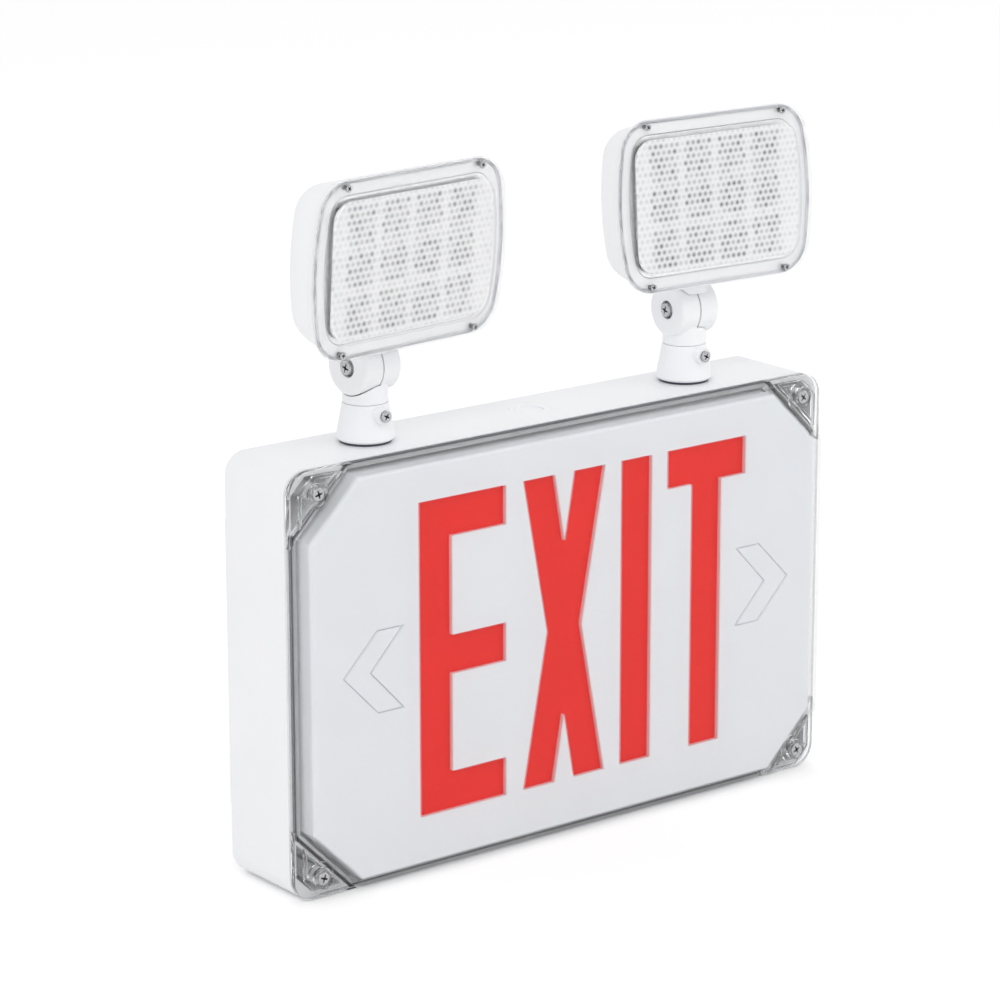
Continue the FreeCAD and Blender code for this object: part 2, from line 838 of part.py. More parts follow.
def make_led_strip(label, side):
    # a lamp strip on the tray's upper or lower wall, with its chips facing into the box
    body = new_body(label)
    wall = pan_half_height - z["pan_wall"] - z["panel_gap"] - z["tray_wall"]
    start = tray_back + z["tray_wall"] + z["strip_setback"]
    sketch = front_sketch(body, start)
    centred_rectangle(sketch, as_size(0), side * (wall - z["strip_thick"] / 2), z["strip_length"],
                      z["strip_thick"])
    pad(body, sketch, z["strip_width"])
    sketch = front_sketch(body, start + (z["strip_width"] - z["chip_width"]) / 2)
    count = SIZES["chip_count"]
    for index in range(count):
        x = z["strip_length"] * ((index + 0.5) / count - 0.5)
        height = side * (wall - z["strip_thick"] - z["chip_thick"] / 2)
        centred_rectangle(sketch, x, height, z["chip_length"], z["chip_thick"])
    pad(body, sketch, z["chip_width"])
    return body


# ---- electronics -----------------------------------------------------------------------------

def make_control_board():
    body = new_body("control_board")
    back = floor + z["board_standoff"]
    x = z["board_centre"]
    sketch = front_sketch(body, back)
    centred_rectangle(sketch, x, as_size(0), z["board_width"], z["board_height"])
    pad(body, sketch, z["board_thick"])
    top = back + z["board_thick"]
    for name in ("relay", "charger", "sink"):
        sketch = front_sketch(body, top)
        centred_rectangle(sketch, x + z[name + "_across"], z[name + "_up"], z[name + "_width"],
                          z[name + "_height"])
        pad(body, sketch, z[name + "_tall"])
    sketch = front_sketch(body, top)
    for step in (0, 1):
        circle(sketch, x + z["capacitor_across"] + step * z["capacitor_pitch"], z["capacitor_up"],
               z["capacitor_radius"])
    pad(body, sketch, z["capacitor_tall"])
    return body


def make_transformer():
    body = new_body("transformer")
    x = transformer_across
    y = z["transformer_up"]
    sketch = front_sketch(body, floor)
    centred_rectangle(sketch, x, y, z["core_width"], z["core_height"])
    pad(body, sketch, z["core_thick"])
    sketch = front_sketch(body, floor)
    centred_rectangle(sketch, x, y, z["coil_width"], z["coil_height"])
    pad(body, sketch, z["coil_thick"])
    return body


def battery_top():
    return floor + z["floor_gap"] + z["cell_radius"] * 2


def make_battery_pack():
    # three cells side by side in one shrink wrap
    body = new_body("battery_pack")
    middle = -(floor + z["floor_gap"] + z["cell_radius"])
    sketch = level_sketch(body, z["battery_up"] - z["cell_length"] / 2)
    centred_rectangle(sketch, battery_across, middle, z["cell_pitch"] * 2, z["battery_web"])
    pad(body, sketch, z["cell_length"])
    for step in (-1, 0, 1):
        sketch = level_sketch(body, z["battery_up"] - z["cell_length"] / 2)
        circle(sketch, battery_across + step * z["cell_pitch"], middle, z["cell_radius"])
        pad(body, sketch, z["cell_length"])
    return body


def make_battery_strap():
    body = new_body("battery_strap")
    half = z["cell_pitch"] + z["cell_radius"] + z["floor_gap"]
    thick = z["strap_thick"]
    top = battery_top() + z["floor_gap"]
    outline = [(-half - thick - z["strap_foot"], floor), (-half, floor), (-half, top), (half, top),
               (half, floor), (half + thick + z["strap_foot"], floor),
               (half + thick + z["strap_foot"], floor + thick), (half + thick, floor + thick),
               (half + thick, top + thick), (-half - thick, top + thick),
               (-half - thick, floor + thick), (-half - thick - z["strap_foot"], floor + thick)]
    sketch = level_sketch(body, z["battery_up"] - z["strap_width"] / 2)
    polygon(sketch, [(battery_across + x, -y) for x, y in outline])
    pad(body, sketch, z["strap_width"])
    return body


def make_conduit_plug():
    body = new_body("conduit_plug")
    sketch = level_sketch(body, housing_top - top_wall - z["plug_flange_thick"])
    circle(sketch, as_size(0), -z["lamp_front"], z["plug_flange_radius"])
    pad(body, sketch, z["plug_flange_thick"])
    sketch = level_sketch(body, housing_top - top_wall)
    circle(sketch, as_size(0), -z["lamp_front"], z["plug_radius"])
    pad(body, sketch, top_wall)
    sketch = level_sketch(body, housing_top)
    circle(sketch, as_size(0), -z["lamp_front"], z["plug_dish_radius"])
    pocket(body, sketch, z["plug_dish_depth"])
    return body


def make_test_button():
    # a cap through the right side wall, kept in by a collar inside
    body = new_body("test_button")
    wall = z["housing_width"] / 2
    inside = wall - side_wall
    sketch = side_sketch(body, inside - z["button_collar_thick"])
    circle(sketch, -z["button_front"], z["button_up"], z["button_collar"])
    pad(body, sketch, z["button_collar_thick"])
    sketch = side_sketch(body, inside)
    circle(sketch, -z["button_front"], z["button_up"], z["button_radius"])
    pad(body, sketch, side_wall + z["button_proud"])
    return body


def make_status_lamp():
    body = new_body("status_lamp")
    wall = z["housing_width"] / 2
    inside = wall - side_wall
    sketch = side_sketch(body, inside - z["button_collar_thick"])
    circle(sketch, -z["button_front"], z["lamp_dot_up"], z["lamp_dot_collar"])
    pad(body, sketch, z["button_collar_thick"])
    sketch = side_sketch(body, inside)
    circle(sketch, -z["button_front"], z["lamp_dot_up"], z["lamp_dot_radius"])
    pad(body, sketch, side_wall + z["lamp_dot_proud"])
    return body


def make_switch_board():
    # a small upright board standing on the housing floor, with the test switch on it
    body = new_body("switch_board")
    inside = z["housing_width"] / 2 - side_wall
    face = inside - z["button_collar_thick"] - z["button_travel"] - z["switch_gap"] - z["switch_body_thick"]
    centre = (z["button_up"] + z["lamp_dot_up"]) / 2
    sketch = side_sketch(body, face - z["switch_board_thick"])
    rectangle(sketch, -floor - z["switch_board_width"], -floor,
              centre - z["switch_board_height"] / 2, centre + z["switch_board_height"] / 2)
    pad(body, sketch, z["switch_board_thick"])
    sketch = side_sketch(body, face)
    centred_rectangle(sketch, -z["button_front"], z["button_up"], z["switch_body"], z["switch_body"])
    pad(body, sketch, z["switch_body_thick"])
    sketch = side_sketch(body, face)
    circle(sketch, -z["button_front"], z["lamp_dot_up"], z["lamp_dot_source"])
    pad(body, sketch, z["switch_body_thick"] + z["switch_gap"] + z["button_travel"])
    return body


# ---- lamp heads ------------------------------------------------------------------------------

def place_on_housing(body, side):
    body.Placement = FreeCAD.Placement(
        FreeCAD.Vector(side * float(lamp_across), -float(z["lamp_front"]), float(housing_top)),
        FreeCAD.Rotation())
    return body


def place_at_axis(body, side, pan, tilt):
    about_up = FreeCAD.Rotation(FreeCAD.Vector(0, 0, 1), float(pan))
    about_across = FreeCAD.Rotation(FreeCAD.Vector(1, 0, 0), float(tilt))
    height = float(housing_top + z["axis_height"])
    body.Placement = FreeCAD.Placement(
        FreeCAD.Vector(side * float(lamp_across), -float(z["lamp_front"]), height),
        about_up.multiply(about_across))
    return body


def make_base_gasket(label):
    body = new_body(label)
    sketch = level_sketch(body, 0)
    circle(sketch, as_size(0), as_size(0), z["base_gasket_radius"])
    circle(sketch, as_size(0), as_size(0), z["spigot_radius"] + z["spigot_fit"])
    pad(body, sketch, z["base_gasket_thick"])
    return body


def make_lamp_base(label):
    body = new_body(label)
    bore = z["stem_radius"] + z["stem_fit"]
    seat = z["base_gasket_thick"]
    sketch = front_sketch(body, 0)
    polygon(sketch, [(bore, -spigot_depth), (z["spigot_radius"], -spigot_depth), (z["spigot_radius"], seat),
                     (z["base_bottom_radius"] - z["base_edge"], seat),
                     (z["base_bottom_radius"], seat + z["base_edge"]),
                     (z["base_top_radius"], lamp_lift), (bore, lamp_lift)])
    turn(body, sketch)
    sketch = front_sketch(body, bore + z["overcut"])
    circle(sketch, as_size(0), boss_height, z["boss_radius"])
    pad(body, sketch, z["boss_reach"] - bore - z["overcut"])
    sketch = front_sketch(body, z["boss_reach"])
    circle(sketch, as_size(0), boss_height, z["set_screw_radius"] + z["set_screw_fit"])
    pocket(body, sketch, z["boss_reach"] - bore + z["overcut"])
    return body


def make_base_nut(label):
    body = new_body(label)
    sketch = level_sketch(body, -spigot_depth)
    hexagon(sketch, as_size(0), as_size(0), z["nut_flat_radius"])
    circle(sketch, as_size(0), as_size(0), z["spigot_radius"] + z["spigot_fit"])
    pad(body, sketch, z["nut_thick"])
    return body


def make_set_screw(label):
    body = new_body(label)
    tip = z["stem_radius"] - z["groove_depth"] + z["groove_gap"]
    sketch = front_sketch(body, tip)
    circle(sketch, as_size(0), boss_height, z["set_screw_radius"])
    pad(body, sketch, z["boss_reach"] - tip)
    sketch = front_sketch(body, z["boss_reach"])
    circle(sketch, as_size(0), boss_height, z["set_head_radius"])
    pad(body, sketch, z["set_head_thick"])
    return body


def add_disc(body, side):
    sketch = side_sketch(body, side * z["face_gap"])
    circle(sketch, as_size(0), as_size(0), z["disc_radius"])
    disc = pad(body, sketch, z["disc_width"] - z["face_gap"], backwards=side < 0)

    def is_outer_rim(edge):
        box = edge.BoundBox
        return box.XLength < 0.01 and close(box.XMin, side * float(z["disc_width"]))

    return blend_edges(body, disc, z["disc_chamfer"], is_outer_rim, "Chamfer")


def add_scoop(body, side):
    # room for the other half's disc
    sketch = side_sketch(body, side * z["face_gap"])
    circle(sketch, as_size(0), as_size(0), z["disc_radius"] + z["scoop_gap"])
    pocket(body, sketch, z["disc_width"] * 2, forwards=side < 0)


def add_teeth(body, side):
    sketch = side_sketch(body, side * z["face_gap"])
    spread = math.radians(SIZES["tooth_angle"] / 2)
    inner = z["tooth_inner"]
    outer = z["tooth_outer"]
    low = math.sin(spread)
    flat = math.cos(spread)
    polygon(sketch, [(inner * -low, inner * flat), (inner * low, inner * flat),
                     (outer * low, outer * flat), (outer * -low, outer * flat)])
    tooth = pad(body, sketch, z["tooth_rise"], backwards=side > 0)
    doc.recompute()
    ring = body.newObject("PartDesign::PolarPattern", "%s_teeth" % body.Label)
    ring.Originals = [tooth]
    ring.Axis = (origin_plane(body, "X_Axis"), [""])
    ring.Angle = 360
    bind(ring, "Occurrences", z["tooth_count"])
    body.Tip = ring


def add_cross_hole(body, side, holds_nut):
    sketch = side_sketch(body, side * z["disc_width"])
    circle(sketch, as_size(0), as_size(0), head_hole_radius)
    pocket(body, sketch, z["disc_width"] * 2, forwards=side < 0)
    sketch = side_sketch(body, side * z["disc_width"])
    if holds_nut:
        hexagon(sketch, as_size(0), as_size(0), z["cross_nut_radius"] + z["nut_pocket_fit"])
        pocket(body, sketch, z["cross_nut_thick"], forwards=side < 0)
    else:
        circle(sketch, as_size(0), as_size(0), z["washer_radius"] + z["cross_seat_fit"])
        pocket(body, sketch, z["cross_seat_depth"], forwards=side < 0)


def make_lower_knuckle(label, side):
    body = new_body(label)
    add_disc(body, side)
    sketch = level_sketch(body, neck_bottom)
    circle(sketch, as_size(0), as_size(0), z["neck_radius"])
    pad(body, sketch, -neck_bottom)
    add_scoop(body, side)
    add_teeth(body, side)
    add_cross_hole(body, side, holds_nut=side > 0)
    stem_end = -z["axis_height"] - spigot_depth
    sketch = level_sketch(body, stem_end)
    circle(sketch, as_size(0), as_size(0), z["stem_radius"])
    pad(body, sketch, neck_bottom - stem_end)
    sketch = front_sketch(body, 0)
    groove = boss_height - z["axis_height"]
    rectangle(sketch, z["stem_radius"] - z["groove_depth"], z["stem_radius"] + z["overcut"],
              groove - z["groove_width"] / 2, groove + z["groove_width"] / 2)
    turn(body, sketch, cutting=True)
    return body


def arm_screw_across(side):
    return side * (z["disc_width"] + z["face_gap"]) / 2


def make_upper_knuckle(label, side):
    body = new_body(label)
    add_disc(body, side)
    sketch = level_sketch(body, z["arm_start"])
    circle(sketch, as_size(0), -z["arm_forward"], z["arm_radius"])
    pad(body, sketch, z["arm_seat"] - z["arm_start"])
    add_scoop(body, side)
    add_teeth(body, side)
    add_cross_hole(body, side, holds_nut=side > 0)
    sketch = level_sketch(body, z["arm_seat"])
    circle(sketch, arm_screw_across(side), -z["arm_screw_forward"], z["arm_screw_radius"] + z["screw_fit"])
    pocket(body, sketch, z["arm_screw_reach"])
    return body


def make_knuckle_screw(label):
    body = new_body(label)
    face = z["cross_seat_depth"] - z["disc_width"]
    sketch = side_sketch(body, face)
    circle(sketch, as_size(0), as_size(0), z["cross_radius"])
    pad(body, sketch, z["disc_width"] - face)
    sketch = side_sketch(body, face)
    circle(sketch, as_size(0), as_size(0), z["washer_radius"])
    pad(body, sketch, z["washer_thick"], backwards=True)
    sketch = side_sketch(body, face - z["washer_thick"])
    circle(sketch, as_size(0), as_size(0), z["cross_head_radius"])
    pad(body, sketch, z["cross_head_thick"], backwards=True)
    return body


def make_knuckle_nut(label):
    body = new_body(label)
    sketch = side_sketch(body, z["disc_width"] - z["cross_nut_thick"])
    hexagon(sketch, as_size(0), as_size(0), z["cross_nut_radius"])
    circle(sketch, as_size(0), as_size(0), head_hole_radius)
    pad(body, sketch, z["cross_nut_thick"])
    return body


def shell_cavity_bottom():
    return z["head_rise"] - z["head_half_height"] + z["shell_deep_inset"]


def make_lamp_shell(label, side):
    # a deep bowl: the outline shrinks towards a flat back with a large round edge
    body = new_body(label)
    sections = [(z["shell_front"], as_size(0), z["head_corner"])]
    for name in ("waist", "turn", "shoulder"):
        sections.append((z["shell_%s_front" % name], z["shell_%s_inset" % name], z["shell_%s_corner" % name]))
    sections.append((z["shell_back"], z["shell_back_inset"], z["shell_back_corner"]))
    sketches = []
    for front, inset, corner in sections:
        sketch = front_sketch(body, front)
        crowned_outline(sketch, inset, corner)
        sketches.append(sketch)
    loft = body.newObject("PartDesign::AdditiveLoft", "%s_loft" % label)
    loft.Profile = sketches[0]
    loft.Sections = sketches[1:]
    loft.Ruled = False

    sketch = level_sketch(body, z["arm_seat"])
    circle(sketch, as_size(0), -z["arm_forward"], z["arm_radius"])
    pad(body, sketch, z["arm_boss_height"])

    sketch = front_sketch(body, z["shell_front"])
    crowned_outline(sketch, z["shell_land"])
    pocket(body, sketch, z["shell_front"] - ledge)
    sketch = front_sketch(body, ledge)
    crowned_outline(sketch, z["shell_deep_inset"], z["shell_deep_corner"])
    pocket(body, sketch, ledge - z["shell_back"] - z["shell_floor"])

    sketch = front_sketch(body, z["shell_front"])
    for x, y in corners_of(z["lens_screw_across"], z["lens_screw_up"]):
        circle(sketch, x, z["head_rise"] + y, z["lens_screw_radius"] + z["screw_fit"])
    pocket(body, sketch, z["lens_screw_reach"])

    sketch = level_sketch(body, z["arm_seat"])
    circle(sketch, arm_screw_across(side), -z["arm_screw_forward"], z["arm_screw_radius"] + z["screw_fit"])
    pocket(body, sketch, shell_cavity_bottom() - z["arm_seat"] + z["overcut"], forwards=True)
    return body


def make_arm_screw(label, side):
    body = new_body(label)
    sketch = level_sketch(body, shell_cavity_bottom())
    circle(sketch, arm_screw_across(side), -z["arm_screw_forward"], z["arm_screw_head"])
    pad(body, sketch, z["arm_screw_head_thick"])
    sketch = level_sketch(body, shell_cavity_bottom())
    circle(sketch, arm_screw_across(side), -z["arm_screw_forward"], z["arm_screw_radius"])
    pad(body, sketch, shell_cavity_bottom() - z["arm_seat"] + z["arm_screw_reach"], backwards=True)
    return body


def make_lens_gasket(label):
    body = new_body(label)
    sketch = front_sketch(body, z["shell_front"])
    crowned_outline(sketch, z["lens_gasket_inset"])
    crowned_outline(sketch, z["lens_gasket_inset"] + z["lens_gasket_width"])
    pad(body, sketch, z["lens_gasket_thick"])
    return body


def make_lamp_lens(label):
    body = new_body(label)
    sketch = front_sketch(body, lens_back)
    crowned_outline(sketch, as_size(0))
    pad(body, sketch, z["lens_flange"])
    sketch = front_sketch(body, lens_front)
    crowned_outline(sketch, z["lens_pad_margin"], z["lens_pad_corner"])
    raised = pad(body, sketch, z["lens_pad_rise"])
    top = lens_front + z["lens_pad_rise"]
    blend_edges(body, raised, z["lens_pad_edge"], lambda edge: lies_at_front(edge, top))
    sketch = front_sketch(body, lens_back)
    crowned_outline(sketch, z["lens_pad_margin"] + z["lens_wall"], z["lens_pad_corner"] - z["lens_wall"])
    pocket(body, sketch, z["lens_flange"] + z["lens_pad_rise"] - z["lens_wall"], forwards=True)
    sketch = front_sketch(body, lens_front)
    for x, y in corners_of(z["lens_screw_across"], z["lens_screw_up"]):
        circle(sketch, x, z["head_rise"] + y, z["lens_screw_radius"] + z["screw_fit"])
    pocket(body, sketch, z["lens_flange"])
    return body


def make_lens_screws(label):
    body = new_body(label)
    for radius, length, backwards in ((z["lens_screw_head"], z["lens_screw_head_thick"], False),
                                      (z["lens_screw_radius"], lens_front - z["shell_front"]
                                       + z["lens_screw_reach"], True)):
        sketch = front_sketch(body, lens_front)
        for x, y in corners_of(z["lens_screw_across"], z["lens_screw_up"]):
            circle(sketch, x, z["head_rise"] + y, radius)
        pad(body, sketch, length, backwards)
    return body


def dish_centres():
    columns = SIZES["cell_columns"]
    rows = SIZES["cell_rows"]
    for column in range(columns):
        for row in range(rows):
            x = z["dish_pitch_across"] * (column - (columns - 1) / 2)
            y = z["dish_pitch_up"] * (row - (rows - 1) / 2)
            yield x, z["head_rise"] + y


def make_lamp_reflector(label):
    body = new_body(label)
    back = z["shell_front"] - z["reflector_thick"]
    sketch = front_sketch(body, back)
    crowned_outline(sketch, z["shell_land"] + z["reflector_gap"])
    pad(body, sketch, z["reflector_thick"])
    sketch = front_sketch(body, z["shell_front"])
    for x, y in dish_centres():
        centred_rectangle(sketch, x, y, z["dish_pitch_across"] - z["dish_rim"],
                          z["dish_pitch_up"] - z["dish_rim"])
    dishes = pocket(body, sketch, z["dish_depth"])
    dishes.TaperAngle = -SIZES["dish_taper"]
    sketch = front_sketch(body, z["shell_front"])
    for x, y in dish_centres():
        centred_rectangle(sketch, x, y, z["dish_floor"], z["dish_floor"])
    pocket(body, sketch, z["reflector_thick"])
    return body


def make_lamp_board(label):
    body = new_body(label)
    sketch = front_sketch(body, ledge)
    crowned_outline(sketch, z["shell_land"] + z["lamp_board_gap"])
    pad(body, sketch, z["lamp_board_thick"])
    sketch = front_sketch(body, ledge + z["lamp_board_thick"])
    for x, y in dish_centres():
        centred_rectangle(sketch, x, y, z["die_size"], z["die_size"])
    pad(body, sketch, z["die_thick"])
    return body


def make_lamp(name, side):
    # the left lamp carries its lower knuckle half on the right, and the right lamp on the left
    pan = z["%s_pan" % name]
    tilt = z["%s_tilt" % name]
    neck_side = -side
    fixed = [make_base_gasket("%s_base_gasket" % name), make_lamp_base("%s_lamp_base" % name),
             make_base_nut("%s_base_nut" % name), make_set_screw("%s_set_screw" % name)]
    for body in fixed:
        place_on_housing(body, side)
    turning = [make_lower_knuckle("%s_lower_knuckle" % name, neck_side),
               make_knuckle_screw("%s_knuckle_screw" % name)]
    nut = make_knuckle_nut("%s_knuckle_nut" % name)
    head = [make_upper_knuckle("%s_upper_knuckle" % name, -neck_side),
            make_lamp_shell("%s_lamp_shell" % name, -neck_side),
            make_arm_screw("%s_arm_screw" % name, -neck_side),
            make_lens_gasket("%s_lens_gasket" % name), make_lamp_lens("%s_lamp_lens" % name),
            make_lens_screws("%s_lens_screws" % name), make_lamp_reflector("%s_lamp_reflector" % name),
            make_lamp_board("%s_lamp_board" % name)]
    if neck_side > 0:
        turning.append(nut)
    else:
        head.append(nut)
    for body in turning:
        place_at_axis(body, side, pan, 0)
    for body in head:
        place_at_axis(body, side, pan, tilt)
    return fixed + turning + head


# ---- build, check and write ------------------------------------------------------------------

def build_all():
    bodies = [make_housing(), make_cover_gasket(), make_clear_cover(), make_cover_screws(),
              make_stencil_plate(), make_red_panel(), make_light_tray(),
              make_led_strip("upper_led_strip", 1), make_led_strip("lower_led_strip", -1),
              make_control_board(), make_transformer(), make_battery_pack(), make_battery_strap(),
              make_conduit_plug(), make_test_button(), make_status_lamp(), make_switch_board()]
    bodies += make_lamp("left", -1)
    bodies += make_lamp("right", 1)
    return bodies


def check(bodies):
    doc.recompute()
    failed = [item.Label for item in doc.Objects if "Invalid" in item.State or "Error" in item.State]
    for body in bodies:
        if body.Shape.isNull() or not body.Shape.isValid():
            failed.append(body.Label)
    if failed:
        raise RuntimeError("these objects failed: %s" % ", ".join(failed))


def write(bodies):
    os.makedirs("parts", exist_ok=True)
    for body in bodies:
        body.Shape.exportStep("parts/%s.step" % body.Label)
        print("%-24s solids %d  volume %9.1f" % (body.Label, len(body.Shape.Solids), body.Shape.Volume))


bodies = build_all()
check(bodies)
write(bodies)
print("wrote %d sub-parts" % len(bodies))
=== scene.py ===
import math

import bpy
import numpy as np
from mathutils import Matrix, Vector


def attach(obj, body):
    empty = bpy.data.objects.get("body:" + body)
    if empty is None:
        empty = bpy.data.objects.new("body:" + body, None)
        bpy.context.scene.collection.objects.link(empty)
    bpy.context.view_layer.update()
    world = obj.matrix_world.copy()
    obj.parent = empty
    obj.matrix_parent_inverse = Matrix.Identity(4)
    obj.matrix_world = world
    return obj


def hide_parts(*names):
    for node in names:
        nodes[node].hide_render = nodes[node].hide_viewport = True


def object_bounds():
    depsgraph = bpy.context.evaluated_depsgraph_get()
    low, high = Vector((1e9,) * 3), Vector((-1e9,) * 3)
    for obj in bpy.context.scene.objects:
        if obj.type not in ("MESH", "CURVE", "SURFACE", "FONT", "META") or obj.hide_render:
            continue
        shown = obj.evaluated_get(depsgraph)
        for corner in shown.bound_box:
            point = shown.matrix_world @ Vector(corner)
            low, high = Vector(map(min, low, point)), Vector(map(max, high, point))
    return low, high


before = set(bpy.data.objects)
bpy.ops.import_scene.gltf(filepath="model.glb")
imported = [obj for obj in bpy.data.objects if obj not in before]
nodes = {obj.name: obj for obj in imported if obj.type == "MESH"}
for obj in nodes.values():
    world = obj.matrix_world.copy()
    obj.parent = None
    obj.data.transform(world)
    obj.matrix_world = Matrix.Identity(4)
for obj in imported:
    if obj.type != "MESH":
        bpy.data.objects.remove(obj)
cadLow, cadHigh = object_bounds()
sides = ("left", "right")
print("frame loaded:", len(nodes), "nodes")


# Materials: every one is a Principled shader fed by patterns on Object coordinates.

def newMaterial(name):
    material = bpy.data.materials.new(name)
    material.use_nodes = True
    tree = material.node_tree
    tree.nodes.clear()
    output = tree.nodes.new("ShaderNodeOutputMaterial")
    shader = tree.nodes.new("ShaderNodeBsdfPrincipled")
    tree.links.new(shader.outputs["BSDF"], output.inputs["Surface"])
    return material, tree, shader


def noisePattern(tree, size, detail=3.0):
    # fractal noise with lumps about "size" metres across
    coordinates = tree.nodes.new("ShaderNodeTexCoord")
    noise = tree.nodes.new("ShaderNodeTexNoise")
    noise.inputs["Scale"].default_value = 1.0 / size
    noise.inputs["Detail"].default_value = detail
    tree.links.new(coordinates.outputs["Object"], noise.inputs["Vector"])
    return noise.outputs["Fac"]


def rampColours(tree, factor, low, high, start=0.35, stop=0.65):
    ramp = tree.nodes.new("ShaderNodeValToRGB")
    ramp.color_ramp.elements[0].position = start
    ramp.color_ramp.elements[1].position = stop
    ramp.color_ramp.elements[0].color = (*low, 1)
    ramp.color_ramp.elements[1].color = (*high, 1)
    tree.links.new(factor, ramp.inputs["Fac"])
    return ramp.outputs["Color"]


def rampValue(tree, factor, low, high, start=0.0, stop=1.0):
    # low where the factor is at start, high where it is at stop
    span = tree.nodes.new("ShaderNodeMapRange")
    for socket, value in zip(("From Min", "From Max", "To Min", "To Max"), (start, stop, low, high)):
        span.inputs[socket].default_value = value
    tree.links.new(factor, span.inputs["Value"])
    return span.outputs["Result"]


def mathStep(tree, operation, first, second=None, third=None):
    # one sum on sockets or plain numbers
    step = tree.nodes.new("ShaderNodeMath")
    step.operation = operation
    for socket, value in zip(step.inputs, (first, second, third)):
        if isinstance(value, bpy.types.NodeSocket):
            tree.links.new(value, socket)
        elif value is not None:
            socket.default_value = value
    return step.outputs[0]


def objectAxes(tree):
    coordinates = tree.nodes.new("ShaderNodeTexCoord")
    parts = tree.nodes.new("ShaderNodeSeparateXYZ")
    tree.links.new(coordinates.outputs["Object"], parts.inputs["Vector"])
    return parts.outputs


def colourOver(tree, share, colour):
    # lays the colour over the shader's own, as far as the share says
    shader = tree.nodes["Principled BSDF"]
    plain = shader.inputs["Base Color"].links[0].from_socket
    mix = tree.nodes.new("ShaderNodeMixRGB")
    mix.inputs["Color2"].default_value = (*colour, 1)
    tree.links.new(share, mix.inputs["Fac"])
    tree.links.new(plain, mix.inputs["Color1"])
    tree.links.new(mix.outputs["Color"], shader.inputs["Base Color"])


def bumpFrom(tree, shader, height, distance):
    bump = tree.nodes.new("ShaderNodeBump")
    bump.inputs["Distance"].default_value = distance
    tree.links.new(height, bump.inputs["Height"])
    tree.links.new(bump.outputs["Normal"], shader.inputs["Normal"])


def mouldedPlastic(name, colour, shade=0.985, roughness=(0.34, 0.44), grain=0.0009, depth=0.00001,
                   gloss=0.5, cloudSize=0.035):
    # a moulded skin: fine grain in the surface, faint cloudiness in the colour
    material, tree, shader = newMaterial(name)
    cloud = noisePattern(tree, cloudSize, 2.0)
    tint = tuple(c * shade for c in colour)
    tree.links.new(rampColours(tree, cloud, tint, colour), shader.inputs["Base Color"])
    fine = noisePattern(tree, grain, 2.0)
    tree.links.new(rampValue(tree, fine, *roughness), shader.inputs["Roughness"])
    bumpFrom(tree, shader, fine, depth)
    shader.inputs["IOR"].default_value = 1.5
    shader.inputs["Specular IOR Level"].default_value = gloss
    return material


def seamShadedFoam(name, colour, seamShadeColour, outline, seamShadeWidth):
    # pale foam with painted seam shade: a dark band, standing in for the shade in the seam between cover and
    # housing, lies where max(|x| - outline x, |z| - outline z) comes within the band's width of zero
    material = mouldedPlastic(name, colour, shade=0.95, roughness=(0.6, 0.75), depth=0.00002)
    tree = material.node_tree
    axes = objectAxes(tree)
    inward = [mathStep(tree, "SUBTRACT", mathStep(tree, "ABSOLUTE", axes[axis]), edge)
              for axis, edge in zip("XZ", outline)]
    nearest = mathStep(tree, "MAXIMUM", *inward)
    fullShadeShare = 0.8  # of the painted shade band's width, where the colour reaches full dark
    # painted shade: the dark colour laid over the gasket's outer rim stands in for the shadow in the seam
    colourOver(tree, rampValue(tree, nearest, 0.0, 1.0, -seamShadeWidth, -seamShadeWidth * fullShadeShare), seamShadeColour)
    return material


def clearPlastic(name, colour, roughness, alpha, ior=1.49, grain=0.004, depth=0.000004):
    # clear moulding: light bends in it, and "alpha" is the share of the light that meets it at all
    material, tree, shader = newMaterial(name)
    shader.inputs["Transmission Weight"].default_value = 1.0
    shader.inputs["IOR"].default_value = ior
    shader.inputs["Alpha"].default_value = alpha
    faint = noisePattern(tree, grain, 1.0)
    paler = tuple(min(1, c * 1.01) for c in colour)
    tree.links.new(rampColours(tree, faint, colour, paler), shader.inputs["Base Color"])
    tree.links.new(rampValue(tree, faint, roughness * 0.8, roughness * 1.2), shader.inputs["Roughness"])
    bumpFrom(tree, shader, faint, depth)
    return material


def rimmedPlastic(name, colour, roughness, zones, gloss=0.5):
    # a clear box lid seen from in front: its outer face bends light a little, its inner face lets it by, and its
    # walls and flange are denser and paler, in zones along Y; the ears lie beyond the slanted corners, where
    # |x| + |z| passes the slant, and there the plastic is clear
    material = clearPlastic(name, colour, roughness, 1.0)
    tree = material.node_tree
    shader = tree.nodes["Principled BSDF"]
    shader.inputs["Specular IOR Level"].default_value = gloss
    axes = objectAxes(tree)
    reach = mathStep(tree, "ADD", mathStep(tree, "ABSOLUTE", axes["X"]), mathStep(tree, "ABSOLUTE", axes["Z"]))
    ears = mathStep(tree, "GREATER_THAN", reach, zones["slant"])
    earGain = zones["earAlpha"] - zones["wallAlpha"]
    wallAlpha = mathStep(tree, "MULTIPLY_ADD", ears, earGain, zones["wallAlpha"])
    inWalls = rampValue(tree, axes["Y"], 0, 1, *zones["walls"])
    behind = mathStep(tree, "MULTIPLY", inWalls, wallAlpha)
    ahead = rampValue(tree, axes["Y"], zones["faceAlpha"], 0, *zones["outerFace"])
    tree.links.new(mathStep(tree, "ADD", ahead, behind), shader.inputs["Alpha"])
    paleness = rampValue(tree, axes["Y"], 0, 1 - zones["wallClear"], *zones["walls"])
    frosted = mathStep(tree, "MULTIPLY", paleness, mathStep(tree, "SUBTRACT", 1, ears))
    tree.links.new(mathStep(tree, "SUBTRACT", 1, frosted), shader.inputs["Transmission Weight"])
    return material


